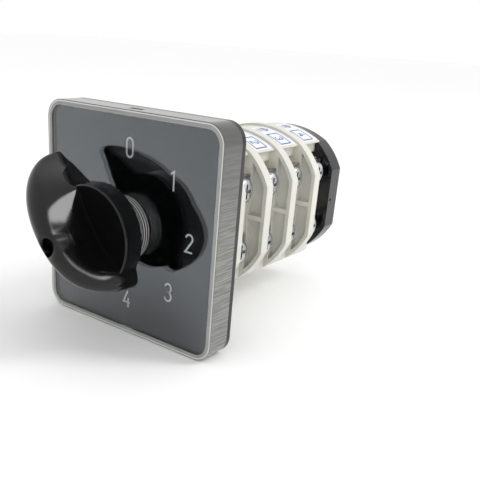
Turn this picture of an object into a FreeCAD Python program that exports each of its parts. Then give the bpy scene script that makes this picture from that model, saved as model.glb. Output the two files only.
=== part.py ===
import FreeCAD, Part
import Sketcher
import math
import os

# Panel-mounted rotary cam switch with a detent stage and four contact stages.
# Millimetres. X to the right and Z up as the operator sees it, +Y from front to rear.
# The origin is the centre of the face that meets the panel, the back of the base plate.

os.makedirs("parts", exist_ok=True)
doc = FreeCAD.newDocument("RotaryCamSwitch")

# Driving sizes
sizes = {
    "faceSide": (64.0, "side of the square front"),
    "faceCorner": (5.5, "corner radius of the front"),
    "coverDepth": (7.6, "depth of the clear cover"),
    "coverWall": (1.5, "side wall of the clear cover"),
    "coverFrontWall": (1.7, "front wall of the clear cover"),
    "collarRadius": (9.2, "outside of the collar round the shaft"),
    "collarBore": (7.9, "inside of the collar"),
    "collarHeight": (3.0, "collar in front of the cover"),
    "clipWidth": (4.2, "width of the cover's snap hooks"),
    "clipDepth": (1.6, "depth of the snap hooks"),
    "clipGap": (0.2, "play of a hook in its window"),
    "dialThickness": (0.8, "dial plate"),
    "dialGap": (0.1, "play between dial plate and cover"),
    "plateThickness": (1.5, "base plate"),
    "frameWall": (1.2, "wall of the frame that carries the dial"),
    "frameGap": (0.7, "play between that frame and the cover"),
    "hubRecess": (0.5, "hub face behind the cover's front"),
    "hubGap": (0.3, "play between hub and collar"),
    "panelHoleSpacing": (48.0, "spacing of the four panel holes"),
    "panelHoleDiameter": (4.5, "panel hole for an M4 screw"),
    "bodyRadius": (25.2, "round sides of the body"),
    "bodyWidth": (46.0, "across the flat sides of the body"),
    "bodyTop": (24.0, "centre line to the top of the body"),
    "bodyBottom": (22.0, "centre line to the flat bottom"),
    "topRadius": (31.35, "gentle arc over the top"),
    "seatDepth": (0.4, "recess in the base plate that seats the detent housing"),
    "seatGap": (0.2, "play round the housing in that recess"),
    "detentDepth": (12.4, "base plate to the first contact stage"),
    "detentWall": (2.0, "rear wall of the detent housing"),
    "detentBore": (20.5, "inside radius of the detent housing"),
    "stagePitch": (14.5, "depth of one contact stage"),
    "finThickness": (3.36, "fin plate of a stage"),
    "finRim": (1.3, "rim round the fin's recesses"),
    "finRecess": (1.8, "depth of the fin's recesses"),
    "ribWidth": (1.5, "level rib across a recess"),
    "finPad": (0.7, "full fin beside the barriers"),
    "rearDepth": (7.0, "depth of the rear cover"),
    "rearInset": (1.4, "rear cover narrower than the fins"),
    "rearEdge": (1.2, "rounded rear edge"),
    "shaftSide": (4.9, "square shaft"),
    "shaftGap": (0.05, "play between the shaft and its square holes"),
    "journalRadius": (5.0, "round hubs of wheel and cams"),
    "bearingGap": (0.05, "play round a journal"),
    "endGap": (0.1, "play between the ends of turning pieces"),
    "rearJournal": (2.3, "round rear end of the shaft"),
    "rearJournalLength": (4.5, "length of that end"),
    "turnRange": (180.0, "travel between the first and the last place"),
    "restAngle": (135.0, "place shown, clockwise from the first"),
    "notchCount": (8.0, "notches of the detent wheel"),
    "wheelRadius": (12.0, "detent wheel"),
    "flangePlay": (0.5, "stop flange short of the housing's floor"),
    "wheelStart": (3.0, "base plate to the notched part"),
    "notchRadius": (3.5, "round of a notch"),
    "notchDepth": (1.5, "depth of a notch"),
    "flangeRadius": (9.0, "stop flange of the wheel"),
    "flangeThickness": (1.9, "stop flange thickness"),
    "lugRadius": (12.6, "reach of the stop lug"),
    "lugAngle": (40.0, "width of the stop lug in degrees"),
    "stopMargin": (1.0, "lug short of the stop at either end, degrees"),
    "stopGap": (0.6, "play between flange and stop rib"),
    "leafThickness": (0.5, "detent spring"),
    "leafMargin": (0.3, "detent spring narrower than the notches, each side"),
    "leafHalf": (12.4, "half length of the detent spring"),
    "leafSeat": (15.0, "shaft to the inside of the detent spring"),
    "leafGap": (0.25, "nose of the spring in its notch"),
    "noseHalf": (0.8, "half width of the nose's flat tip"),
    "noseFoot": (3.2, "half width of the nose at its foot"),
    "bendShift": (0.2, "bends of the outside nearer to the middle"),
    "postHeight": (2.0, "post up and down"),
    "postDepth": (1.8, "post beside the end of a detent spring"),
    "camLow": (6.6, "smallest radius of a cam"),
    "camLift": (1.4, "rise of a cam over half a turn"),
    "camWidth": (7.0, "cam disc"),
    "camGap": (0.06, "play between cam and plunger"),
    "chamberGap": (0.6, "room round a cam"),
    "terminalCentre": (8.65, "fin front to the terminals"),
    "plungerWidth": (5.0, "plunger along the shaft"),
    "plungerHeight": (4.4, "plunger up and down"),
    "plungerGap": (0.1, "play beside a plunger"),
    "contactGap": (0.05, "play between touching contacts"),
    "contactPlane": (10.2, "shaft to the fixed contacts"),
    "bridgeThickness": (0.8, "moving bridge contact"),
    "bridgeGap": (0.3, "play at the ends of a bridge"),
    "returnThickness": (0.25, "return spring of a bridge"),
    "returnFoot": (3.6, "half length of a return spring"),
    "returnTop": (1.0, "half width of its flat top"),
    "returnShare": (0.7, "return spring's width as a share of the bridge's"),
    "barrierHalf": (5.0, "half height of the barrier between terminals"),
    "barrierReach": (16.3, "shaft to the outside of the barrier"),
    "barrierWall": (1.9, "outer wall of the barrier"),
    "stripThickness": (1.0, "terminal strip"),
    "stripWidth": (8.0, "terminal strip along the shaft"),
    "stripPlane": (14.9, "shaft to the inside of a strip's plate"),
    "stripHeight": (8.6, "strip plate, up and down"),
    "footDepth": (2.2, "fixed contact below its leg"),
    "slotHeight": (1.8, "slot beyond a terminal"),
    "labelPlane": (13.8, "side face above the terminals"),
    "labelTop": (19.2, "edge of the curved label face"),
    "labelReach": (15.3, "half width of the label face"),
    "labelDrop": (0.75, "label face below the fin's edge"),
    "labelEdge": (0.5, "slope under the label face's edge"),
    "slotReach": (1.5, "slot deeper than the side face"),
    "lowerSlotHeight": (1.1, "slot below a lower terminal"),
    "lowerBevel": (1.0, "bevel along the underside"),
    "lowerReach": (15.6, "half width below the terminals"),
    "lowerDrop": (1.4, "underside above the fin's edge"),
    "washerWidth": (9.9, "clamp washer along the shaft"),
    "washerHeight": (8.4, "clamp washer up and down"),
    "washerThickness": (1.3, "clamp washer"),
    "screwRadius": (1.95, "terminal screw"),
    "screwGap": (0.1, "play round a screw or bolt"),
    "screwLength": (4.6, "terminal screw behind its washer"),
    "screwHead": (3.7, "radius of the screw head"),
    "screwHeadDepth": (2.6, "depth of the screw head"),
    "screwCrown": (1.17, "rounding of the screw head"),
    "crossWidth": (0.9, "cross recess, width of a slot"),
    "crossLength": (4.4, "cross recess, length of a slot"),
    "crossDepth": (1.3, "cross recess, depth"),
    "boltRadius": (1.5, "tie bolt"),
    "boltPlace": (14.5, "shaft to the tie bolts"),
    "boltShort": (0.3, "tie bolt's end inside the rear cover's face"),
    "boltHead": (2.75, "radius of the bolt head"),
    "boltHeadDepth": (2.0, "depth of the bolt head"),
    "nutRadius": (3.1, "corner radius of a nut"),
    "nutDepth": (2.4, "depth of a nut"),
    "nutGap": (0.15, "play round a nut"),
    "threadGap": (0.05, "play between a plain shank and its nut"),
    "knobGap": (5.5, "collar to the back of the knob"),
    "drumRadius": (13.9, "round drum of the knob"),
    "drumDepth": (5.8, "depth of the drum"),
    "knobDepth": (20.4, "back of the knob to its crest"),
    "tailLength": (26.4, "shaft to the end of the tail"),
    "noseLength": (17.0, "shaft to the tip of the nose"),
    "tailWidth": (11.4, "tail where it leaves the drum"),
    "tailTip": (3.2, "width of the tail's end"),
    "gripWidth": (5.8, "grip at the screw hole"),
    "crestMargin": (0.8, "flanks drawn on past the crest"),
    "crownRadius": (4.2, "crown across the crest"),
    "crownAngle": (60.0, "steepest slope of that crown"),
    "tailRounding": (1.3, "rounding of the crest's edges at the tail"),
    "noseRounding": (0.6, "rounding of the crest's edges at the nose"),
    "drumBevel": (0.4, "bevel round the drum"),
    "screwHoleRadius": (2.5, "hole for the knob's screw"),
    "screwSeat": (6.1, "crest of the knob to the seat of its screw"),
    "seatWall": (1.7, "wall that the knob's screw clamps"),
    "knobHollow": (2.2, "depth of the hollow behind the drum"),
    "knobHub": (5.2, "radius of the knob's hub"),
    "knobWall": (1.9, "rim of the drum"),
    "knobScrewRadius": (1.45, "screw of the knob"),
    "knobScrewHead": (2.35, "radius of its head"),
    "knobScrewLength": (8.0, "its shank"),
    "knobScrewHeadDepth": (2.2, "depth of its head"),
    "knobCrossShare": (0.7, "its cross recess as a share of a terminal screw's"),
    "foilThickness": (0.12, "bare foil on the detent housing"),
    "foilLow": (4.0, "foil below the centre line"),
    "foilMargin": (1.4, "foil short of the housing's ends"),
}
stageCount = 4

sheet = doc.addObject("Spreadsheet::Sheet", "Sizes")
for row, (alias, (amount, note)) in enumerate(sizes.items(), start=1):
    sheet.set("A%d" % row, note)
    sheet.set("B%d" % row, str(amount))
    sheet.setAlias("B%d" % row, alias)
doc.recompute()

# Places along the shaft, as formulas of the driving sizes
coverFront = "-(Sizes.plateThickness + Sizes.coverDepth)"
collarRim = "(%s - Sizes.collarHeight)" % coverFront
coverInside = "(%s + Sizes.coverFrontWall)" % coverFront
dialFront = "(%s + Sizes.dialGap)" % coverInside
dialBack = "(%s + Sizes.dialThickness)" % dialFront
plateFront = "-Sizes.plateThickness"
hubFront = "(%s + Sizes.hubRecess)" % coverFront
knobBack = "(%s - Sizes.knobGap)" % collarRim
knobCrest = "(%s - Sizes.knobDepth)" % knobBack
screwSeat = "(%s + Sizes.screwSeat)" % knobCrest
shaftFront = "(%s + Sizes.seatWall)" % screwSeat
detentFloor = "(Sizes.detentDepth - Sizes.detentWall)"
flangeStart = "(%s - Sizes.flangePlay - Sizes.flangeThickness)" % detentFloor
wheelThickness = "(%s - Sizes.wheelStart)" % flangeStart
rearStart = "(Sizes.detentDepth + %d * Sizes.stagePitch)" % stageCount
rearEnd = "(%s + Sizes.rearDepth)" % rearStart
nutSeat = "(%s - Sizes.nutDepth - Sizes.nutGap)" % rearEnd

# Distances from the shaft, as formulas
coverHalf = "(Sizes.faceSide / 2)"
coverInner = "(Sizes.faceSide / 2 - Sizes.coverWall)"
frameOuter = "(%s - Sizes.frameGap)" % coverInner
bearingBore = "(Sizes.journalRadius + Sizes.bearingGap)"
hubRadius = "(Sizes.collarBore - Sizes.hubGap)"
boltBore = "(Sizes.boltRadius + Sizes.screwGap)"
screwBore = "(Sizes.screwRadius + Sizes.screwGap)"
chamberRadius = "(Sizes.camLow + Sizes.camLift + Sizes.chamberGap)"
barrierInside = "(Sizes.barrierReach - Sizes.barrierWall)"
terminalTop = "(Sizes.barrierHalf + Sizes.stripHeight)"
terminalHeight = "(Sizes.barrierHalf + Sizes.stripHeight / 2)"
topCentre = "(Sizes.bodyTop - Sizes.topRadius)"
footInside = "(Sizes.contactPlane - Sizes.stripThickness)"

alongY = FreeCAD.Rotation(FreeCAD.Vector(1, 0, 0), -90)
upright = FreeCAD.Vector(0, 1, 0)


def size(alias):
    return float(getattr(sheet, alias))


def bind(item, formulas):
    for name, formula in formulas.items():
        item.setExpression(name, formula)
    return item


# Simple solids, bound to the sheet

def rod(name, radius, start, length, x="0", z="0"):
    item = doc.addObject("Part::Cylinder", name)
    item.Placement = FreeCAD.Placement(FreeCAD.Vector(), alongY)
    return bind(item, {
        "Radius": radius, "Height": length,
        "Placement.Base.x": x, "Placement.Base.y": start, "Placement.Base.z": z,
    })


def sector(name, radius, start, length, fromAngle, sweep):
    # fromAngle and sweep run clockwise from the top, as the operator sees it
    item = rod(name, radius, start, length)
    turn = FreeCAD.Rotation(upright, fromAngle - 90)
    item.Placement = FreeCAD.Placement(item.Placement.Base, turn.multiply(alongY))
    item.setExpression("Angle", sweep)
    return item


def slab(name, left, right, front, back, low, high):
    item = doc.addObject("Part::Box", name)
    return bind(item, {
        "Length": "(%s) - (%s)" % (right, left),
        "Width": "(%s) - (%s)" % (back, front),
        "Height": "(%s) - (%s)" % (high, low),
        "Placement.Base.x": left, "Placement.Base.y": front, "Placement.Base.z": low,
    })


def towards(sign, near, far):
    # both ends of a stretch, lowest first, on the right or upper side and mirrored on the other
    return (near, far) if sign > 0 else ("-(%s)" % far, "-(%s)" % near)


def hexagon(name, corner, start, length, z):
    item = doc.addObject("Part::Prism", name)
    item.Polygon = 6
    item.Placement = FreeCAD.Placement(FreeCAD.Vector(), alongY)
    return bind(item, {
        "Circumradius": corner, "Height": length,
        "Placement.Base.y": start, "Placement.Base.z": z,
    })


# Booleans

def joined(name, items):
    item = doc.addObject("Part::MultiFuse", name)
    item.Shapes = items
    item.Refine = True
    return item


def shared(name, items):
    item = doc.addObject("Part::MultiCommon", name)
    item.Shapes = items
    return item


def cut(name, base, tools):
    item = doc.addObject("Part::Cut", name)
    item.Base = base
    item.Tool = tools[0] if len(tools) == 1 else joined(name + "Tools", tools)
    item.Refine = True
    return item


def group(name, items):
    item = doc.addObject("Part::Compound", name)
    item.Links = items
    return item


# Sketched bodies, drawn in the operator's view and padded rearwards

def sketchOn(body, name, start):
    front = next(entry for entry in body.Origin.OriginFeatures if entry.Role == "XZ_Plane")
    sketch = body.newObject("Sketcher::SketchObject", name)
    sketch.AttachmentSupport = [(front, "")]
    sketch.MapMode = "FlatFace"
    sketch.setExpression("AttachmentOffset.Base.z", "-(%s)" % start)
    return sketch


def fix(sketch, kind, edge, point, formula):
    number = sketch.addConstraint(Sketcher.Constraint(kind, -1, 1, edge, point, 1.0))
    sketch.setExpression("Constraints[%d]" % number, formula)


def drawPolygon(sketch, corners):
    count = len(corners)
    # the lines start as a regular polygon, and the bound corners then move them
    ring = [FreeCAD.Vector(math.cos(2 * math.pi * step / count), math.sin(2 * math.pi * step / count), 0)
            for step in range(count)]
    for step in range(count):
        sketch.addGeometry(Part.LineSegment(ring[step], ring[(step + 1) % count]))
    for step in range(count):
        sketch.addConstraint(Sketcher.Constraint("Coincident", step, 2, (step + 1) % count, 1))
    for step, (across, up) in enumerate(corners):
        fix(sketch, "DistanceX", step, 1, across)
        fix(sketch, "DistanceY", step, 1, up)


def drawCircle(sketch, across, up, radius):
    sketch.addGeometry(Part.Circle(FreeCAD.Vector(), FreeCAD.Vector(0, 0, 1), 1))
    fix(sketch, "DistanceX", 0, 3, across)
    fix(sketch, "DistanceY", 0, 3, up)
    number = sketch.addConstraint(Sketcher.Constraint("Radius", 0, 1.0))
    sketch.setExpression("Constraints[%d]" % number, radius)


def padOf(body, sketch, length):
    pad = body.newObject("PartDesign::Pad", sketch.Name + "Pad")
    pad.Profile = sketch
    pad.Reversed = True
    pad.setExpression("Length", length)
    return pad


def pocketOf(body, sketch, length):
    pocket = body.newObject("PartDesign::Pocket", sketch.Name + "Pocket")
    pocket.Profile = sketch
    pocket.setExpression("Length", length)
    return pocket


def prism(name, corners, start, length):
    body = doc.addObject("PartDesign::Body", name)
    sketch = sketchOn(body, name + "Outline", start)
    drawPolygon(sketch, corners)
    padOf(body, sketch, length)
    return body


def edgesAlong(shape, direction):
    names = []
    for number, edge in enumerate(shape.Edges, start=1):
        if edge.Curve.TypeId != "Part::GeomLine":
            continue
        if abs(abs(edge.tangentAt(edge.FirstParameter).dot(direction)) - 1) < 0.001:
            names.append("Edge%d" % number)
    return names


def roundedSquare(name, half, corner, start, length):
    less = "-(%s)" % half
    corners = [(less, less), (half, less), (half, half), (less, half)]
    body = prism(name, corners, start, length)
    doc.recompute()
    square = body.Tip
    rounding = body.newObject("PartDesign::Fillet", name + "Corners")
    rounding.Base = (square, edgesAlong(square.Shape, upright))
    rounding.setExpression("Radius", corner)
    body.Tip = rounding
    return body


def mirrored(rightSide):
    # rightSide runs from the top to the bottom, and the left side comes back up
    return rightSide + [("-(%s)" % across, up) for across, up in reversed(rightSide)]


# The body outline: round sides, two flats, a gentle arc over the top and a flat bottom

def bodyOutline(name, start, length, inset="0", rearRounding=0):
    side = "(Sizes.bodyWidth / 2 - (%s))" % inset
    solids = [
        rod(name + "Round", "Sizes.bodyRadius - (%s)" % inset, start, length),
        rod(name + "Top", "Sizes.topRadius - (%s)" % inset, start, length, z=topCentre),
        slab(name + "Flats", "-%s" % side, side, start, "(%s) + (%s)" % (start, length),
             "-(Sizes.bodyBottom - (%s))" % inset, "Sizes.bodyTop"),
    ]
    if rearRounding:
        solids = [roundedEnd(item, rearRounding) for item in solids]
    return shared(name, solids)


def roundedEnd(item, radius):
    doc.recompute()
    last = item.Shape.BoundBox.YMax
    rounding = doc.addObject("Part::Fillet", item.Name + "Rounded")
    rounding.Base = item
    rounding.Edges = [(number, radius, radius) for number, edge in enumerate(item.Shape.Edges, start=1)
                      if edge.BoundBox.YMin > last - 0.01]
    return rounding


def boltHoles(name, start, length):
    return [rod(name + side, boltBore, start, length, z=sign + "Sizes.boltPlace")
            for side, sign in (("Upper", ""), ("Lower", "-"))]


def turned(item):
    # a piece of the rotor is drawn for the first place and shown at the rest place
    angle = FreeCAD.Rotation(upright, size("restAngle"))
    item.Placement = FreeCAD.Placement(item.Placement.Base, angle)
    return item


def squareHole(name, start, length):
    half = "(Sizes.shaftSide / 2 + Sizes.shaftGap)"
    return slab(name, "-%s" % half, half, start, "(%s) + (%s)" % (start, length), "-%s" % half, half)


# Front pieces

def makeFrontCover():
    outside = roundedSquare("coverOutside", coverHalf, "Sizes.faceCorner", coverFront, "Sizes.coverDepth")
    inside = roundedSquare("coverInside", coverInner, "Sizes.faceCorner - Sizes.coverWall",
                           coverInside, "Sizes.coverDepth")
    collar = rod("collar", "Sizes.collarRadius", collarRim, "Sizes.collarHeight + Sizes.coverFrontWall")
    bore = rod("collarBoreCut", "Sizes.collarBore", collarRim, "Sizes.collarHeight + Sizes.coverDepth")
    clipRoom = "(Sizes.clipWidth / 2 + Sizes.clipGap)"
    windows = slab("clipWindows", "-" + clipRoom, clipRoom,
                   "%s - Sizes.clipGap" % dialBack, "%s + Sizes.clipDepth + Sizes.clipGap" % dialBack,
                   "-%s" % coverHalf, coverHalf)
    return cut("front_cover", joined("coverSolid", [outside, collar]), [inside, bore, windows])


def makeDialPlate():
    corner = "Sizes.faceCorner - Sizes.coverWall - Sizes.dialGap"
    half = "%s - Sizes.dialGap" % coverInner
    plate = roundedSquare("dialSheet", half, corner, dialFront, "Sizes.dialThickness")
    bore = rod("dialBore", "Sizes.collarBore", dialFront, "Sizes.dialThickness")
    return cut("dial_plate", plate, [bore])


def makeBasePlate():
    plate = roundedSquare("plateSquare", coverHalf, "Sizes.faceCorner", plateFront, "Sizes.plateThickness")
    reach = "(%s) - (%s)" % (plateFront, dialBack)
    corner = "Sizes.faceCorner - Sizes.coverWall - Sizes.frameGap"
    frame = cut("dialFrame", roundedSquare("frameOutside", frameOuter, corner, dialBack, reach),
                [roundedSquare("frameInside", "%s - Sizes.frameWall" % frameOuter,
                               corner + " - Sizes.frameWall", dialBack, reach)])
    hooks = []
    for side, sign in (("Upper", 1), ("Lower", -1)):
        low, high = towards(sign, frameOuter, "%s - Sizes.coverWall / 3" % coverHalf)
        hooks.append(slab("clip" + side, "-Sizes.clipWidth / 2", "Sizes.clipWidth / 2",
                          dialBack, "%s + Sizes.clipDepth" % dialBack, low, high))
    hub = rod("hub", hubRadius, hubFront, "-(%s)" % hubFront)
    solid = joined("plateSolid", [plate, frame, hub] + hooks)
    tools = [rod("hubBore", bearingBore, hubFront, "-(%s)" % hubFront)]
    tools += boltHoles("plateBolt", plateFront, "Sizes.plateThickness")
    tools.append(bodyOutline("housingSeat", "-Sizes.seatDepth", "Sizes.seatDepth", "-Sizes.seatGap"))
    for number, (across, up) in enumerate(((1, 1), (1, -1), (-1, -1), (-1, 1))):
        tools.append(rod("panelHole%d" % number, "Sizes.panelHoleDiameter / 2", plateFront,
                         "Sizes.plateThickness", "%d * Sizes.panelHoleSpacing / 2" % across,
                         "%d * Sizes.panelHoleSpacing / 2" % up))
    return cut("base_plate", solid, tools)


# Turning pieces

def splineThrough(points):
    curve = Part.BSplineCurve()
    curve.interpolate(points)
    return curve.toShape()


def gripSection(depth, halfWidths):
    # one flank is a smooth curve through these half widths, and the other is its mirror image
    reaches = (-1.0, -0.74, -0.47, -0.27, 0.0, 0.5, 0.76, 0.92, 1.0)
    flanks = []
    for side in (1, -1):
        points = []
        for reach, half in zip(reaches, halfWidths):
            length = size("tailLength") if reach < 0 else size("noseLength")
            points.append(FreeCAD.Vector(side * half, -depth, reach * length))
        flanks.append(points)
    right, left = flanks
    return Part.Wire([
        splineThrough(right), Part.makeLine(right[-1], left[-1]),
        splineThrough(list(reversed(left))), Part.makeLine(left[0], right[0]),
    ])


def makeGripFlanks():
    # wide at the back and narrow at the crest, hollow along the middle
    tip = size("tailTip") / 2
    root = size("tailWidth") / 2
    grip = size("gripWidth") / 2
    back = (tip, root * 0.70, root * 1.22, root * 0.92,
            grip * 1.06, grip * 1.02, grip * 1.22, grip * 0.86, tip * 0.5)
    crest = (tip * 0.5, root * 0.26, root * 0.46, root * 0.50,
             grip * 0.94, grip * 0.88, grip * 0.72, grip * 0.42, tip * 0.4)
    item = doc.addObject("Part::Feature", "gripFlanks")
    above = size("knobDepth") + size("crestMargin")
    item.Shape = Part.makeLoft([gripSection(0, back), gripSection(above, crest)], True, True)
    return item


def crownDrop(across):
    # an arc over the middle of the crest, and straight slopes beyond it
    radius = size("crownRadius")
    slope = math.radians(size("crownAngle"))
    edge = radius * math.sin(slope)
    if abs(across) <= edge:
        return radius - math.sqrt(radius ** 2 - across ** 2)
    return radius * (1 - math.cos(slope)) + (abs(across) - edge) * math.tan(slope)


def domeSection(across):
    # side view: a quarter of a superellipse towards the tail and a fuller one towards the nose
    tailPower = 2.05
    nosePower = 2.45
    steps = 9
    drop = crownDrop(across)
    rise = size("knobDepth") - drop
    tail = []
    nose = []
    for points, reach, power in ((tail, drop - size("tailLength"), tailPower),
                                 (nose, size("noseLength") - drop, nosePower)):
        for step in range(steps):
            angle = math.radians(90 * step / steps)
            along = reach * math.cos(angle) ** (2 / power)
            points.append(FreeCAD.Vector(across, -rise * math.sin(angle) ** (2 / power), along))
    crest = FreeCAD.Vector(across, -rise, 0)
    curve = splineThrough(tail + [crest] + list(reversed(nose)))
    return Part.Wire([curve, Part.makeLine(nose[0], tail[0])])


def makeGripDome():
    steps = 8
    span = 1.1 * size("drumRadius") / 2
    item = doc.addObject("Part::Feature", "gripDome")
    item.Shape = Part.makeLoft([domeSection(span * step / steps) for step in range(-steps, steps + 1)], True)
    return item


def softenCrest(grip):
    # the two long edges of the crest are rounded, more at the tail than at the nose
    doc.recompute()
    soft = doc.addObject("Part::Fillet", "gripSoft")
    soft.Base = grip
    crest = -0.6 * size("knobDepth")
    soft.Edges = [(number, size("tailRounding"), size("noseRounding"))
                  for number, edge in enumerate(grip.Shape.Edges, start=1)
                  if edge.Length > size("tailLength") and edge.BoundBox.YMin < crest]
    return soft


def makeKnob():
    # straight underside edges from the tail's end to the drum, and the flanks rise from them
    below = "-Sizes.tailLength"
    meet = "-0.47 * Sizes.tailLength"
    underside = prism("gripUnderside", mirrored([
        ("Sizes.drumRadius / 2", "Sizes.noseLength"), ("Sizes.drumRadius / 2", meet),
        ("Sizes.tailWidth / 2", meet), ("Sizes.tailTip / 2", below),
    ]), "-(Sizes.knobDepth + Sizes.crestMargin)", "Sizes.knobDepth + Sizes.crestMargin")
    grip = softenCrest(shared("grip", [makeGripFlanks(), makeGripDome(), underside]))
    drum = rod("drum", "Sizes.drumRadius", "-Sizes.drumDepth", "Sizes.drumDepth")
    doc.recompute()
    drumEdge = doc.addObject("Part::Chamfer", "drumEdge")
    drumEdge.Base = drum
    drumEdge.Edges = [(number, size("drumBevel"), size("drumBevel"))
                      for number, edge in enumerate(drum.Shape.Edges, start=1)
                      if edge.Closed and edge.CenterOfMass.y < -size("drumDepth") / 2]
    solid = joined("knobSolid", [drumEdge, grip])
    hollow = cut("knobHollowRing", rod("hollowOutside", "Sizes.drumRadius - Sizes.knobWall",
                                       "-Sizes.knobHollow", "Sizes.knobHollow"),
                 [rod("hollowInside", "Sizes.knobHub", "-Sizes.knobHollow", "Sizes.knobHollow")])
    socketDepth = "(Sizes.knobDepth - Sizes.screwSeat - Sizes.seatWall)"
    tools = [
        hollow,
        squareHole("knobSocket", "-%s" % socketDepth, socketDepth),
        rod("knobScrewHole", "Sizes.screwHoleRadius", "-(Sizes.knobDepth + Sizes.crestMargin)",
            "Sizes.screwSeat + Sizes.crestMargin"),
        rod("knobShankHole", "Sizes.knobScrewRadius + Sizes.screwGap",
            "-Sizes.knobDepth", "Sizes.knobDepth"),
    ]
    knob = cut("knob", solid, tools)
    knob.setExpression("Placement.Base.y", knobBack)
    return turned(knob)


def crossSlots(name, share, depth):
    reach = "(Sizes.crossLength / 2 * %s)" % share
    half = "(Sizes.crossWidth / 2)"
    return [
        slab(name + "Level", "-" + reach, reach, "-(%s)" % depth, "0", "-" + half, half),
        slab(name + "Upright", "-" + half, half, "-(%s)" % depth, "0", "-" + reach, reach),
    ]


def makeKnobScrew():
    head = rod("knobScrewTop", "Sizes.knobScrewHead",
               "-Sizes.knobScrewHeadDepth", "Sizes.knobScrewHeadDepth")
    shank = rod("knobScrewShank", "Sizes.knobScrewRadius", "0", "Sizes.knobScrewLength")
    slots = crossSlots("knobScrewCross", "Sizes.knobCrossShare", "Sizes.knobScrewHeadDepth")
    for slot in slots:
        slot.setExpression("Width", "Sizes.crossDepth")
    screw = cut("knob_screw", joined("knobScrewSolid", [head, shank]), slots)
    screw.setExpression("Placement.Base.y", screwSeat)
    return turned(screw)


def makeShaft():
    half = "Sizes.shaftSide / 2"
    front = "%s + Sizes.endGap" % shaftFront
    square = slab("shaftSquare", "-" + half, half, front, rearStart, "-" + half, half)
    journal = rod("shaftJournal", "Sizes.rearJournal", rearStart, "Sizes.rearJournalLength")
    thread = rod("shaftThread", "Sizes.knobScrewRadius + Sizes.threadGap", shaftFront,
                 "Sizes.knobScrewLength")
    return turned(cut("shaft", joined("shaftSolid", [square, journal]), [thread]))


def makeDetentWheel():
    body = doc.addObject("PartDesign::Body", "notchedWheel")
    disc = sketchOn(body, "wheelDisc", "Sizes.wheelStart")
    drawCircle(disc, "0", "0", "Sizes.wheelRadius")
    padOf(body, disc, wheelThickness)
    notch = sketchOn(body, "wheelNotch", "Sizes.wheelStart")
    drawCircle(notch, "Sizes.wheelRadius - Sizes.notchDepth + Sizes.notchRadius", "0", "Sizes.notchRadius")
    first = pocketOf(body, notch, wheelThickness)
    doc.recompute()
    ring = body.newObject("PartDesign::PolarPattern", "wheelNotches")
    ring.Originals = [first]
    ring.Axis = (disc, ["N_Axis"])
    ring.Angle = 360
    ring.setExpression("Occurrences", "Sizes.notchCount")
    body.Tip = ring
    flange = rod("stopFlange", "Sizes.flangeRadius", flangeStart, "Sizes.flangeThickness")
    # the lug points to the side opposite the stop rib's middle, a quarter turn behind the nose
    lug = sector("stopLug", "Sizes.lugRadius", flangeStart, "Sizes.flangeThickness",
                 270 - size("lugAngle") / 2, "Sizes.lugAngle")
    journal = rod("wheelJournal", "Sizes.journalRadius", hubFront, "Sizes.detentDepth - (%s)" % hubFront)
    solid = joined("wheelSolid", [body, flange, lug, journal])
    hole = squareHole("wheelSquare", hubFront, "Sizes.detentDepth - (%s)" % hubFront)
    return turned(cut("detent_wheel", solid, [hole]))


def camCurve(start, rises, flip):
    # over half a turn from start, the radius grows or falls evenly with the angle
    steps = 12
    points = []
    for step in range(steps + 1):
        angle = math.radians(start + 180 * step / steps)
        share = step / steps if rises else 1 - step / steps
        radius = size("camLow") + size("camLift") * share
        points.append(FreeCAD.Vector(flip * radius * math.sin(angle), 0, radius * math.cos(angle)))
    return points


def makeCam(number):
    flip = 1 if number % 2 else -1
    falling = camCurve(-90, False, flip)
    rising = camCurve(90, True, flip)
    rising[0] = falling[-1]
    rising[-1] = falling[0]
    name = "cam_%d" % number
    disc = doc.addObject("Part::Feature", name + "Disc")
    outline = Part.Wire([splineThrough(falling), splineThrough(rising)])
    disc.Shape = Part.Face(outline).extrude(FreeCAD.Vector(0, size("camWidth"), 0))
    disc.setExpression("Placement.Base.y", "Sizes.terminalCentre - Sizes.camWidth / 2")
    hub = rod(name + "Hub", "Sizes.journalRadius", "Sizes.endGap", "Sizes.stagePitch - Sizes.endGap")
    hole = squareHole(name + "Square", "0", "Sizes.stagePitch")
    cam = cut(name, joined(name + "Solid", [disc, hub]), [hole])
    cam.setExpression("Placement.Base.y", stageStart(number))
    return turned(cam)


def stageStart(number):
    return "Sizes.detentDepth + %d * Sizes.stagePitch" % (number - 1)


# Detent housing and its springs

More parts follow.
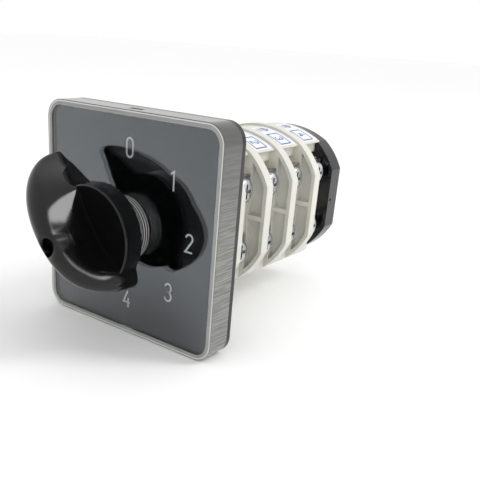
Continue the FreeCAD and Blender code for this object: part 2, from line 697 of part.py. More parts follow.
def makeDetentHousing():
    start = "-Sizes.seatDepth"
    depth = "(Sizes.detentDepth + Sizes.seatDepth)"
    solid = bodyOutline("housingOutline", start, depth)
    tools = [
        rod("housingCavity", "Sizes.detentBore", start, "%s - Sizes.detentWall" % depth),
        rod("housingBearing", bearingBore, start, depth),
    ]
    tools += boltHoles("housingBolt", start, depth)
    cup = cut("housingCup", solid, tools)
    # the stop rib fills what the lug's width and travel leave of the circle
    ribSweep = "360 - Sizes.turnRange - Sizes.lugAngle - 2 * Sizes.stopMargin"
    ribStart = 90 + size("lugAngle") / 2 + size("stopMargin")
    ribFront = "(%s + Sizes.stopGap / 2)" % flangeStart
    ribDepth = "%s - %s" % (detentFloor, ribFront)
    rib = cut("stopRib", sector("ribOutside", "Sizes.lugRadius + Sizes.stopGap / 2", ribFront, ribDepth,
                                ribStart, ribSweep),
              [rod("ribInside", "Sizes.flangeRadius + Sizes.stopGap", ribFront, ribDepth)])
    posts = []
    for side, across in (("Right", 1), ("Left", -1)):
        for place, up in (("Upper", 1), ("Lower", -1)):
            ends = towards(across, "Sizes.leafSeat - Sizes.postDepth", "Sizes.leafSeat - Sizes.contactGap")
            levels = towards(up, "Sizes.leafHalf - Sizes.postHeight", "Sizes.leafHalf")
            posts.append(slab("springPost" + side + place, ends[0], ends[1], "Sizes.wheelStart",
                              detentFloor, levels[0], levels[1]))
    return joined("detent_housing", [cup, rib] + posts)


def makeDetentSpring(side, sign):
    # a leaf with a bent nose, its ends held behind the posts
    nose = "(Sizes.wheelRadius - Sizes.notchDepth + Sizes.leafGap)"
    seat = "Sizes.leafSeat"
    half = "Sizes.leafHalf"
    thick = "Sizes.leafThickness"
    inner = [(nose, "Sizes.noseHalf"), (seat, "Sizes.noseFoot"), (seat, half)]
    outer = [("%s + %s" % (seat, thick), half),
             ("%s + %s" % (seat, thick), "Sizes.noseFoot - Sizes.bendShift"),
             ("%s + %s" % (nose, thick), "Sizes.noseHalf - Sizes.bendShift")]
    upper = inner + outer
    lower = [(across, "-(%s)" % up) for across, up in reversed(upper)]
    corners = [("%d * (%s)" % (sign, across), up) for across, up in upper + lower]
    start = "(Sizes.wheelStart + Sizes.leafMargin)"
    return prism("detent_spring_" + side, corners, start, "%s - 2 * Sizes.leafMargin" % wheelThickness)


def makeFoil():
    start = "Sizes.foilMargin"
    length = "(Sizes.detentDepth - 2 * Sizes.foilMargin)"
    shell = cut("foilShell", bodyOutline("foilOutside", start, length, "-Sizes.foilThickness"),
                [bodyOutline("foilInside", start, length)])
    area = slab("foilArea", "Sizes.bodyWidth / 8", "Sizes.bodyWidth", start, "%s + %s" % (start, length),
                "-Sizes.foilLow", "Sizes.bodyTop - Sizes.foilThickness")
    return shared("rating_label", [shell, area])


# Contact stages

def stageProfile():
    # right half of the block behind the fin, from the top to the bottom
    top = "Sizes.bodyTop"
    slotFar = "Sizes.labelPlane - Sizes.slotReach"
    upperSlot = "%s + Sizes.slotHeight" % terminalTop
    lowerSlot = "-(%s + Sizes.lowerSlotHeight)" % terminalTop
    underside = "-(Sizes.bodyBottom - Sizes.lowerDrop)"
    return mirrored([
        ("Sizes.labelReach", top),
        ("Sizes.labelReach", "Sizes.labelTop - Sizes.labelEdge"),
        ("Sizes.labelPlane", "Sizes.labelTop - 2 * Sizes.labelEdge"),
        ("Sizes.labelPlane", upperSlot),
        (slotFar, upperSlot),
        (slotFar, terminalTop),
        ("Sizes.stripPlane", terminalTop),
        ("Sizes.stripPlane", "Sizes.barrierHalf"),
        ("Sizes.barrierReach", "Sizes.barrierHalf"),
        ("Sizes.barrierReach", "-Sizes.barrierHalf"),
        ("Sizes.stripPlane", "-Sizes.barrierHalf"),
        ("Sizes.stripPlane", "-%s" % terminalTop),
        (slotFar, "-%s" % terminalTop),
        (slotFar, lowerSlot),
        ("Sizes.lowerReach", lowerSlot),
        ("Sizes.lowerReach", underside + " + Sizes.lowerBevel"),
        ("Sizes.lowerReach - Sizes.lowerBevel", underside),
    ])


def finRecesses(name):
    # four shallow recesses outside the block's footprint, split by the level rib
    field = bodyOutline(name + "Field", "0", "Sizes.finRecess", "Sizes.finRim")
    pads = [
        slab(name + "Pad", "-(Sizes.barrierReach + Sizes.finPad)", "Sizes.barrierReach + Sizes.finPad",
             "0", "Sizes.finRecess", "-Sizes.bodyTop", "Sizes.bodyTop"),
        slab(name + "Rib", "-Sizes.bodyWidth", "Sizes.bodyWidth",
             "0", "Sizes.finRecess", "-Sizes.ribWidth / 3", "2 * Sizes.ribWidth / 3"),
    ]
    return cut(name, field, pads)


def makeContactBlock(number):
    name = "contact_block_%d" % number
    fin = bodyOutline(name + "Fin", "0", "Sizes.finThickness")
    blockDepth = "Sizes.stagePitch - Sizes.finThickness"
    block = shared(name + "Block", [
        prism(name + "Profile", stageProfile(), "Sizes.finThickness", blockDepth),
        rod(name + "LabelArc", "Sizes.topRadius - Sizes.labelDrop",
            "Sizes.finThickness", blockDepth, z=topCentre),
    ])
    openEnd = "Sizes.stagePitch"
    stripStart = "Sizes.terminalCentre - Sizes.stripWidth / 2"
    plungerStart = "Sizes.terminalCentre - Sizes.plungerWidth / 2 - Sizes.plungerGap"
    slotHalf = "(Sizes.plungerHeight / 2 + Sizes.plungerGap)"
    footLow = "(Sizes.barrierHalf - Sizes.footDepth)"
    legTop = "(Sizes.barrierHalf + Sizes.stripThickness)"
    tools = [
        rod(name + "Chamber", chamberRadius, "Sizes.finThickness", blockDepth),
        rod(name + "Bearing", bearingBore, "0", "Sizes.stagePitch"),
        slab(name + "PlungerWay", "-Sizes.contactPlane", "Sizes.contactPlane",
             plungerStart, openEnd, "-%s" % slotHalf, slotHalf),
    ]
    tools += boltHoles(name + "Bolt", "0", "Sizes.stagePitch")
    for side, sign in (("Right", 1), ("Left", -1)):
        span = towards(sign, "Sizes.contactPlane", barrierInside)
        tools.append(slab(name + "Bridge" + side, span[0], span[1], stripStart, openEnd,
                          "-Sizes.barrierHalf", "Sizes.barrierHalf"))
        for place, up in (("Upper", 1), ("Lower", -1)):
            tag = name + side + place
            leg = towards(sign, footInside, "Sizes.stripPlane")
            levels = towards(up, "Sizes.barrierHalf", legTop)
            tools.append(slab(tag + "Leg", leg[0], leg[1], stripStart, openEnd, levels[0], levels[1]))
            foot = towards(sign, footInside, "Sizes.contactPlane")
            levels = towards(up, footLow, "Sizes.barrierHalf")
            tools.append(slab(tag + "Foot", foot[0], foot[1], stripStart, openEnd, levels[0], levels[1]))
            tools.append(screwHole(tag + "Screw", sign, up))
    tools.append(finRecesses(name + "Recess"))
    contactBlock = cut(name, joined(name + "Solid", [fin, block]), tools)
    contactBlock.setExpression("Placement.Base.y", stageStart(number))
    return contactBlock


def screwHole(name, sign, up):
    hole = doc.addObject("Part::Cylinder", name)
    hole.Placement = FreeCAD.Placement(FreeCAD.Vector(), FreeCAD.Rotation(upright, 90 * sign))
    depth = "(Sizes.screwLength - Sizes.stripThickness + Sizes.screwGap)"
    return bind(hole, {
        "Radius": screwBore, "Height": depth,
        "Placement.Base.x": "%d * (Sizes.stripPlane - %s)" % (sign, depth),
        "Placement.Base.y": "Sizes.terminalCentre",
        "Placement.Base.z": "%d * %s" % (up, terminalHeight),
    })


def makeStrip(name, sign, up):
    # bent strip: a plate under the screw, a leg through the wall and a foot that is the fixed contact
    profile = [
        ("Sizes.stripPlane + Sizes.stripThickness", terminalTop),
        ("Sizes.stripPlane", terminalTop),
        ("Sizes.stripPlane", "Sizes.barrierHalf + Sizes.stripThickness"),
        (footInside, "Sizes.barrierHalf + Sizes.stripThickness"),
        (footInside, "Sizes.barrierHalf - Sizes.footDepth"),
        ("Sizes.contactPlane", "Sizes.barrierHalf - Sizes.footDepth"),
        ("Sizes.contactPlane", "Sizes.barrierHalf"),
        ("Sizes.stripPlane + Sizes.stripThickness", "Sizes.barrierHalf"),
    ]
    corners = [("%d * (%s)" % (sign, across), "%d * (%s)" % (up, level)) for across, level in profile]
    start = "Sizes.terminalCentre - Sizes.stripWidth / 2"
    strip = prism(name + "Profile", corners, start, "Sizes.stripWidth")
    hole = doc.addObject("Part::Cylinder", name + "Hole")
    hole.Placement = FreeCAD.Placement(FreeCAD.Vector(), FreeCAD.Rotation(upright, 90))
    middle = "(Sizes.stripPlane + Sizes.stripThickness / 2)"
    bind(hole, {
        "Radius": screwBore, "Height": "2 * Sizes.stripThickness",
        "Placement.Base.x": "%d * %s - Sizes.stripThickness" % (sign, middle),
        "Placement.Base.y": "Sizes.terminalCentre",
        "Placement.Base.z": "%d * %s" % (up, terminalHeight),
    })
    return cut(name, strip, [hole])


def makeStrips(number):
    name = "terminal_strips_%d" % number
    strips = [makeStrip("%s_%s_%s" % (name, side, place), sign, up)
              for side, sign in (("right", 1), ("left", -1))
              for place, up in (("upper", 1), ("lower", -1))]
    strips = group(name, strips)
    strips.setExpression("Placement.Base.y", stageStart(number))
    return strips


def liftShare(number, sign):
    # how far this cam has pushed this plunger at the rest place, from 0 to 1
    share = "Sizes.restAngle / Sizes.turnRange"
    opensRight = number % 2 == 1
    return share if opensRight == (sign > 0) else "(1 - %s)" % share


def makePlunger(number, side, sign):
    lift = "Sizes.camLift * %s" % liftShare(number, sign)
    near = "(Sizes.camLow + Sizes.camGap + %s)" % lift
    far = "(Sizes.contactPlane + %s)" % lift
    ends = towards(sign, near, far)
    return slab("plunger_%d_%s" % (number, side), ends[0], ends[1],
                "%s + Sizes.terminalCentre - Sizes.plungerWidth / 2" % stageStart(number),
                "%s + Sizes.terminalCentre + Sizes.plungerWidth / 2" % stageStart(number),
                "-Sizes.plungerHeight / 2", "Sizes.plungerHeight / 2")


def makeBridge(number, side, sign):
    # a flat bar with a contact rivet's flat land at either end
    face = "(Sizes.contactPlane + Sizes.contactGap + Sizes.camLift * %s)" % liftShare(number, sign)
    back = "(%s + Sizes.bridgeThickness)" % face
    ends = towards(sign, face, back)
    half = "(Sizes.barrierHalf - Sizes.bridgeGap)"
    return slab("contact_bridge_%d_%s" % (number, side), ends[0], ends[1],
                "%s + Sizes.terminalCentre - Sizes.plungerWidth / 2" % stageStart(number),
                "%s + Sizes.terminalCentre + Sizes.plungerWidth / 2" % stageStart(number),
                "-%s" % half, half)


def makeReturnSpring(number, side, sign):
    # a bowed leaf between the bridge and the barrier's wall
    bridge = "(Sizes.contactPlane + 2 * Sizes.contactGap + Sizes.bridgeThickness + Sizes.camLift * %s)" % (
        liftShare(number, sign))
    wall = "(%s - Sizes.contactGap)" % barrierInside
    thick = "Sizes.returnThickness"
    foot = "Sizes.returnFoot"
    upper = [(wall, "Sizes.returnTop"), ("(%s + %s)" % (bridge, thick), foot), (bridge, foot),
             ("(%s - %s)" % (wall, thick), "Sizes.returnTop - Sizes.bendShift")]
    lower = [(across, "-(%s)" % up) for across, up in reversed(upper)]
    corners = [("%d * %s" % (sign, across), up) for across, up in upper + lower]
    width = "Sizes.plungerWidth * Sizes.returnShare"
    return prism("contact_spring_%d_%s" % (number, side), corners,
                 "%s + Sizes.terminalCentre - %s / 2" % (stageStart(number), width), width)


# Fasteners shared by the stages

def terminalPlaces():
    for number in range(1, stageCount + 1):
        for sign in (1, -1):
            for up in (1, -1):
                yield number, sign, up


def copiesAt(name, master, reach):
    # the master is drawn on the right side, looking outwards along X
    copies = []
    for index, (number, sign, up) in enumerate(terminalPlaces(), start=1):
        copy = doc.addObject("App::Link", "%s%02d" % (name, index))
        copy.LinkedObject = master
        turn = 0 if sign > 0 else 180
        copy.Placement = FreeCAD.Placement(FreeCAD.Vector(), FreeCAD.Rotation(FreeCAD.Vector(0, 0, 1), turn))
        bind(copy, {
            "Placement.Base.x": "%d * (%s)" % (sign, reach),
            "Placement.Base.y": "%s + Sizes.terminalCentre" % stageStart(number),
            "Placement.Base.z": "%d * %s" % (up, terminalHeight),
        })
        copies.append(copy)
    return copies


def rodAlongX(name, radius, start, length):
    item = doc.addObject("Part::Cylinder", name)
    item.Placement = FreeCAD.Placement(FreeCAD.Vector(), FreeCAD.Rotation(upright, 90))
    return bind(item, {"Radius": radius, "Height": length, "Placement.Base.x": start})


def makeTerminalScrews():
    head = rodAlongX("screwHeadDisc", "Sizes.screwHead", "0", "Sizes.screwHeadDepth")
    doc.recompute()
    crown = doc.addObject("Part::Fillet", "screwHeadCrown")
    crown.Base = head
    crown.Edges = [(number, size("screwCrown"), size("screwCrown"))
                   for number, edge in enumerate(head.Shape.Edges, start=1)
                   if edge.Closed and edge.CenterOfMass.x > size("screwHeadDepth") / 2]
    shank = rodAlongX("screwShank", "Sizes.screwRadius", "-Sizes.screwLength - Sizes.washerThickness",
                      "Sizes.screwLength + Sizes.washerThickness")
    floor = "Sizes.screwHeadDepth - Sizes.crossDepth"
    reach = "(Sizes.crossLength / 2)"
    half = "(Sizes.crossWidth / 2)"
    slots = [
        slab("screwSlotLevel", floor, "Sizes.screwHeadDepth", "-" + reach, reach, "-" + half, half),
        slab("screwSlotUpright", floor, "Sizes.screwHeadDepth", "-" + half, half, "-" + reach, reach),
    ]
    master = cut("terminalScrew", joined("terminalScrewSolid", [crown, shank]), slots)
    reach = "Sizes.stripPlane + Sizes.stripThickness + Sizes.washerThickness"
    return group("terminal_screws", copiesAt("screw", master, reach))


def makeTerminalWashers():
    plate = slab("washerPlate", "0", "Sizes.washerThickness",
                 "-Sizes.washerWidth / 2", "Sizes.washerWidth / 2",
                 "-Sizes.washerHeight / 2", "Sizes.washerHeight / 2")
    master = cut("terminalWasher", plate, [rodAlongX("washerHole", screwBore, "0", "Sizes.washerThickness")])
    return group("terminal_washers", copiesAt("washer", master, "Sizes.stripPlane + Sizes.stripThickness"))


def makeRearCover():
    outline = bodyOutline("rearOutline", rearStart, "Sizes.rearDepth", "Sizes.rearInset", size("rearEdge"))
    tools = [rod("rearBearing", "Sizes.rearJournal + Sizes.bearingGap", rearStart,
                 "Sizes.rearJournalLength + Sizes.endGap")]
    tools += boltHoles("rearBolt", rearStart, "Sizes.rearDepth")
    for side, sign in (("Upper", ""), ("Lower", "-")):
        tools.append(hexagon("nutPocket" + side, "Sizes.nutRadius + Sizes.nutGap", nutSeat,
                             "Sizes.nutDepth + 2 * Sizes.nutGap", sign + "Sizes.boltPlace"))
    return cut("rear_cover", outline, tools)


def makeTieBolts():
    bolts = []
    for side, sign in (("Upper", ""), ("Lower", "-")):
        place = sign + "Sizes.boltPlace"
        bolts.append(joined("tieBolt" + side, [
            rod("boltHead" + side, "Sizes.boltHead", "%s - Sizes.boltHeadDepth" % plateFront,
                "Sizes.boltHeadDepth", z=place),
            rod("boltShank" + side, "Sizes.boltRadius", plateFront,
                "%s - Sizes.boltShort + Sizes.plateThickness" % rearEnd, z=place),
        ]))
    return group("tie_bolts", bolts)


def makeTieNuts():
    nuts = []
    for side, sign in (("Upper", ""), ("Lower", "-")):
        place = sign + "Sizes.boltPlace"
        outside = hexagon("nut" + side, "Sizes.nutRadius", nutSeat, "Sizes.nutDepth", place)
        bore = rod("nutBore" + side, "Sizes.boltRadius + Sizes.threadGap", nutSeat, "Sizes.nutDepth", z=place)
        nuts.append(cut("tieNut" + side, outside, [bore]))
    return group("tie_nuts", nuts)


# The whole switch

parts = [
    makeKnob(), makeKnobScrew(), makeShaft(), makeDetentWheel(),
    makeFrontCover(), makeDialPlate(), makeBasePlate(),
    makeDetentHousing(), makeFoil(),
    makeDetentSpring("right", 1), makeDetentSpring("left", -1),
]
for stage in range(1, stageCount + 1):
    parts += [makeContactBlock(stage), makeCam(stage), makeStrips(stage)]
    for side, sign in (("right", 1), ("left", -1)):
        parts += [makePlunger(stage, side, sign), makeBridge(stage, side, sign)]
        parts.append(makeReturnSpring(stage, side, sign))
parts += [makeTerminalScrews(), makeTerminalWashers(), makeRearCover(), makeTieBolts(), makeTieNuts()]

for item in parts:
    item.Label = item.Name
doc.recompute()

faults = [item.Name for item in doc.Objects if {"Invalid", "Error"} & set(item.State)]
faults += [item.Name for item in parts if item.Shape.isNull() or not item.Shape.isValid()]
if faults:
    raise RuntimeError("failed: " + ", ".join(faults))
for item in parts:
    item.Shape.exportStep("parts/%s.step" % item.Label)
    print("%-26s %2d solids %10.2f mm3" % (item.Label, len(item.Shape.Solids), item.Shape.Volume))
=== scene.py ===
import math

import bpy
import numpy as np
from mathutils import Matrix, Vector


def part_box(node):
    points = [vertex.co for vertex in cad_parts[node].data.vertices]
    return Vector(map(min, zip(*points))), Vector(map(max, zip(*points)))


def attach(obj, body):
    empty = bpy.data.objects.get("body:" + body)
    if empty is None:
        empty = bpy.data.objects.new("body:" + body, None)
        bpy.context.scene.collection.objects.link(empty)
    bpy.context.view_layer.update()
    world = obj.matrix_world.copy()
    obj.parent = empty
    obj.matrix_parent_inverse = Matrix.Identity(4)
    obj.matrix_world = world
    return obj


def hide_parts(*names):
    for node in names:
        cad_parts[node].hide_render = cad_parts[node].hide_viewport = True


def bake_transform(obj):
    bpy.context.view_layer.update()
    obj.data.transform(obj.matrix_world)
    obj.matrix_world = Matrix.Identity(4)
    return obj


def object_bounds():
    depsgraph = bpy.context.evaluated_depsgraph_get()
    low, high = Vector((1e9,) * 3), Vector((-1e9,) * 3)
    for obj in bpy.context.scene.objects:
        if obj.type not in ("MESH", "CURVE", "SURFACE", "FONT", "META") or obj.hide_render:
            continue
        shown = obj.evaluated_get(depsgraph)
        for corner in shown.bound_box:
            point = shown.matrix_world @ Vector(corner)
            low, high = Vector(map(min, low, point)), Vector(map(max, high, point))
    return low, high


# Looks of a panel-mounted rotary cam switch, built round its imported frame.
# The frame is in metres: X right and Z up as the operator sees it, +Y from front to rear.
# Values whose names end in Mm are in millimetres.

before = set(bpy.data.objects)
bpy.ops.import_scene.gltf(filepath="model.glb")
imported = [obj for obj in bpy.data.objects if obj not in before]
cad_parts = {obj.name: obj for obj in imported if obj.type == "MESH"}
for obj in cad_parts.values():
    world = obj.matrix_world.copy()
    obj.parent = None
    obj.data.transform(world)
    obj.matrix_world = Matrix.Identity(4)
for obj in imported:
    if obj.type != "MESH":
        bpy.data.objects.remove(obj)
cadLow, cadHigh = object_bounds()
mm = 0.001
print("stage: frame loaded")


# Colour and node helpers

def linear(hexColour):
    channels = [int(hexColour[i:i + 2], 16) / 255 for i in (0, 2, 4)]
    return [c / 12.92 if c <= 0.04045 else ((c + 0.055) / 1.055) ** 2.4 for c in channels] + [1.0]


def addNode(tree, kind, settings=None, **inputs):
    # settings are the node's own properties, and inputs are values or output sockets;
    # an input called i0, i1 and so on is the socket of that number
    node = tree.nodes.new(kind)
    for name, value in (settings or {}).items():
        setattr(node, name, value)
    for name, value in inputs.items():
        numbered = name[0] == "i" and name[1:].isdigit()
        socket = node.inputs[int(name[1:]) if numbered else name]
        if isinstance(value, bpy.types.NodeSocket):
            tree.links.new(value, socket)
        else:
            socket.default_value = value
    return node


def newMaterial(name, shader):
    # shader holds values of the Principled shader's own sockets
    material = bpy.data.materials.new(name)
    material.use_nodes = True
    tree = material.node_tree
    principled = tree.nodes["Principled BSDF"]
    for socket, value in shader.items():
        principled.inputs[socket].default_value = value
    return material, tree, principled


def objectNoise(tree, sizeMm, detail=3.0, roughness=0.5):
    # noise over the object's own coordinates, with a grain of sizeMm
    place = addNode(tree, "ShaderNodeTexCoord")
    noise = addNode(tree, "ShaderNodeTexNoise", Vector=place.outputs["Object"],
                    Scale=1 / (sizeMm * mm), Detail=detail, Roughness=roughness)
    return noise.outputs["Fac"]


def mixColour(tree, factor, first, second):
    # in colour mode the factor is socket 0 and the two colours are sockets 6 and 7
    mix = addNode(tree, "ShaderNodeMix", {"data_type": "RGBA"})
    for index, value in ((0, factor), (6, first), (7, second)):
        if isinstance(value, bpy.types.NodeSocket):
            tree.links.new(value, mix.inputs[index])
        else:
            mix.inputs[index].default_value = value
    return mix.outputs[2]


def mapRange(tree, value, low, high, newLow, newHigh):
    node = addNode(tree, "ShaderNodeMapRange", Value=value)
    limits = (("From Min", low), ("From Max", high), ("To Min", newLow), ("To Max", newHigh))
    for name, number in limits:
        node.inputs[name].default_value = number
    return node.outputs["Result"]


def addBump(tree, principled, height, distanceMm):
    bump = addNode(tree, "ShaderNodeBump", Height=height, Distance=distanceMm * mm, Strength=1.0)
    tree.links.new(bump.outputs["Normal"], principled.inputs["Normal"])


def addSoftEdges(tree, principled, radiusMm, grip=None):
    # a small round on every moulded edge, seen in the shading only, and a larger one on the grip
    radius = radiusMm * mm
    if grip:
        place = addNode(tree, "ShaderNodeTexCoord")
        parts = addNode(tree, "ShaderNodeSeparateXYZ", Vector=place.outputs["Object"])
        start = grip["startMm"]
        radius = mapRange(tree, parts.outputs["Y"], start * mm, (start - grip["blendMm"]) * mm,
                          radius, grip["radiusMm"] * mm)
    bevel = addNode(tree, "ShaderNodeBevel", {"samples": 8}, Radius=radius)
    bumps = [node for node in tree.nodes if node.type == "BUMP"]
    target = bumps[0] if bumps else principled
    tree.links.new(bevel.outputs["Normal"], target.inputs["Normal"])


def addClouds(tree, principled, style, wear, detail, roughness=0.5):
    # colour and polish drift together in soft clouds, as they do on a handled surface
    cloud = objectNoise(tree, style["cloudMm"], detail, roughness)
    colour = mixColour(tree, mapRange(tree, cloud, *colourSpan, 0.0, 1.0),
                       linear(style["dark"]), linear(style["light"]))
    tree.links.new(colour, principled.inputs["Base Color"])
    least, most = (style["roughness"] * share for share in wear)
    tree.links.new(mapRange(tree, cloud, *wearSpan, least, most), principled.inputs["Roughness"])


# Materials

# cloudMm is the size of a surface's soft patches and grainMm that of its fine grain, which is
# drawn coarser than real where it has to show; the spans are where most values of a noise lie
colourSpan = (0.35, 0.65)
wearSpan = (0.3, 0.7)
plasticWear = (0.85, 1.2)
metalWear = (0.7, 1.4)
scatterMm = 0.6


def mouldedPlastic(name, style):
    material, tree, principled = newMaterial(name, {
        "Roughness": style["roughness"], "Specular IOR Level": style.get("specular", 0.5),
        "Subsurface Weight": style.get("subsurface", 0.0), "Subsurface Scale": scatterMm * mm,
    })
    addClouds(tree, principled, style, plasticWear, 4.0)
    addBump(tree, principled, objectNoise(tree, style["grainMm"], 2.0), style["reliefMm"])
    addSoftEdges(tree, principled, style["edgeMm"], style.get("grip"))
    return material


def coverZones(tree, style):
    # distance past the middle of the round corners, the same all along the rounded square;
    # it fades in the rim, then the painted highlight line on it, then the wall, from 0 to 1 each
    place = addNode(tree, "ShaderNodeTexCoord").outputs["Object"]
    start = style["cornerCentreMm"] * mm
    sides = addNode(tree, "ShaderNodeVectorMath", {"operation": "ABSOLUTE"}, i0=place)
    past = addNode(tree, "ShaderNodeVectorMath", {"operation": "SUBTRACT"}, i0=sides.outputs[0],
                   i1=(start, 1, start))
    kept = addNode(tree, "ShaderNodeVectorMath", {"operation": "MAXIMUM"}, i0=past.outputs[0],
                   i1=(0, 0, 0))
    reach = addNode(tree, "ShaderNodeVectorMath", {"operation": "LENGTH"}, i0=kept.outputs[0])
    zones = []
    for fade in ("rimFadeMm", "highlightLineFadeMm", "wallFadeMm"):
        low, high = (value * mm - start for value in style[fade])
        zones.append(mapRange(tree, reach.outputs["Value"], low, high, 0.0, 1.0))
    return (*zones, place)


def collarRings(tree, style, place):
    # painted highlight: fine bright rings painted on the collar round the shaft, which stands in front
    # of the cover, for the reflection arcs in its clear edge
    parts = addNode(tree, "ShaderNodeSeparateXYZ", Vector=place)
    low, high = (value * mm for value in style["collarFadeMm"])
    front = mapRange(tree, parts.outputs["Y"], low, high, 0.0, 1.0)
    wave = addNode(tree, "ShaderNodeMath", {"operation": "MULTIPLY"}, i0=parts.outputs["Y"],
                   i1=2 * math.pi / (style["ringMm"] * mm))
    ring = addNode(tree, "ShaderNodeMath", {"operation": "SINE"}, i0=wave.outputs[0])
    bright = mapRange(tree, ring.outputs[0], *style["ringSpan"], 0.0, 1.0)
    share = addNode(tree, "ShaderNodeMath", {"operation": "MULTIPLY"}, i0=front, i1=bright)
    return share.outputs[0]


def clearPlastic(name, style):
    # clear over the dial, hazy at the rim with one painted highlight line, and grey streaks in the
    # walls, which are seen edge on and drawn as coarse as they need to show; painted shade darkens the
    # walls towards the top, and painted highlight rings stand on the collar
    material, tree, principled = newMaterial(name, {"IOR": style["ior"]})
    rim, highlightLine, wall, place = coverZones(tree, style)
    ringHighlights = collarRings(tree, style, place)
    drawn = addNode(tree, "ShaderNodeVectorMath", {"operation": "MULTIPLY"}, i0=place,
                    i1=(1, style["streakShare"], 1))
    streaks = addNode(tree, "ShaderNodeTexNoise", Vector=drawn.outputs[0],
                      Scale=1 / (style["streakMm"] * mm), Detail=3.0)
    wallColour = mixColour(tree, mapRange(tree, streaks.outputs["Fac"], *style["streakSpan"], 0.0, 1.0),
                           linear(style["wallDark"]), linear(style["wallLight"]))
    parts = addNode(tree, "ShaderNodeSeparateXYZ", Vector=place)
    # painted shade: the walls are painted darker towards the top
    upperShade = mapRange(tree, parts.outputs["Z"], 0.0, style["outerHalfMm"] * mm, 0.0, 1.0)
    wallColour = mixColour(tree, upperShade, wallColour, linear(style["wallUpperShade"]))
    colour = mixColour(tree, rim, linear(style["tint"]), linear(style["rimTint"]))
    # painted highlight: the bright line round the rim is painted in
    colour = mixColour(tree, highlightLine, colour, linear(style["highlightTint"]))
    colour = mixColour(tree, wall, colour, wallColour)
    # painted highlight: bright rings are painted on the collar
    colour = mixColour(tree, ringHighlights, colour, linear(style["highlightTint"]))
    tree.links.new(colour, principled.inputs["Base Color"])
    # the painted highlights and the rim's haze are drawn less clear
    highlightSolid = addNode(tree, "ShaderNodeMath", {"operation": "MAXIMUM"}, i0=highlightLine, i1=ringHighlights)
    hazeAndHighlight = addNode(tree, "ShaderNodeMath", {"operation": "MAXIMUM"}, i0=highlightSolid.outputs[0],
                   i1=mapRange(tree, rim, 0.0, 1.0, 0.0, style["rimHaze"]))
    tree.links.new(mapRange(tree, hazeAndHighlight.outputs[0], 0.0, 1.0, 1.0, style["wallClear"]),
                   principled.inputs["Transmission Weight"])
    tree.links.new(mapRange(tree, rim, 0.0, 1.0, style["roughness"], style["wallRoughness"]),
                   principled.inputs["Roughness"])
    addBump(tree, principled, objectNoise(tree, style["waveMm"], 2.0), style["reliefMm"])
    return material


def platedMetal(name, style):
    material, tree, principled = newMaterial(name, {
        "Metallic": 1.0, "Roughness": style["roughness"],
    })
    addClouds(tree, principled, style, metalWear, 5.0, 0.6)
    addBump(tree, principled, objectNoise(tree, style["grainMm"], 3.0), style["reliefMm"])
    addSoftEdges(tree, principled, style["edgeMm"])
    return material


def printedSheet(name, style):
    material, tree, principled = newMaterial(name, {
        "Roughness": style["roughness"], "Specular IOR Level": style.get("specular", 0.5),
        "Specular Tint": linear(style.get("specularTint", "ffffff")),
    })
    cloud = objectNoise(tree, style["cloudMm"], 3.0)
    colour = mixColour(tree, cloud, linear(style["dark"]), linear(style["light"]))
    tree.links.new(colour, principled.inputs["Base Color"])
    addBump(tree, principled, objectNoise(tree, style["grainMm"], 2.0), style["reliefMm"])
    return material


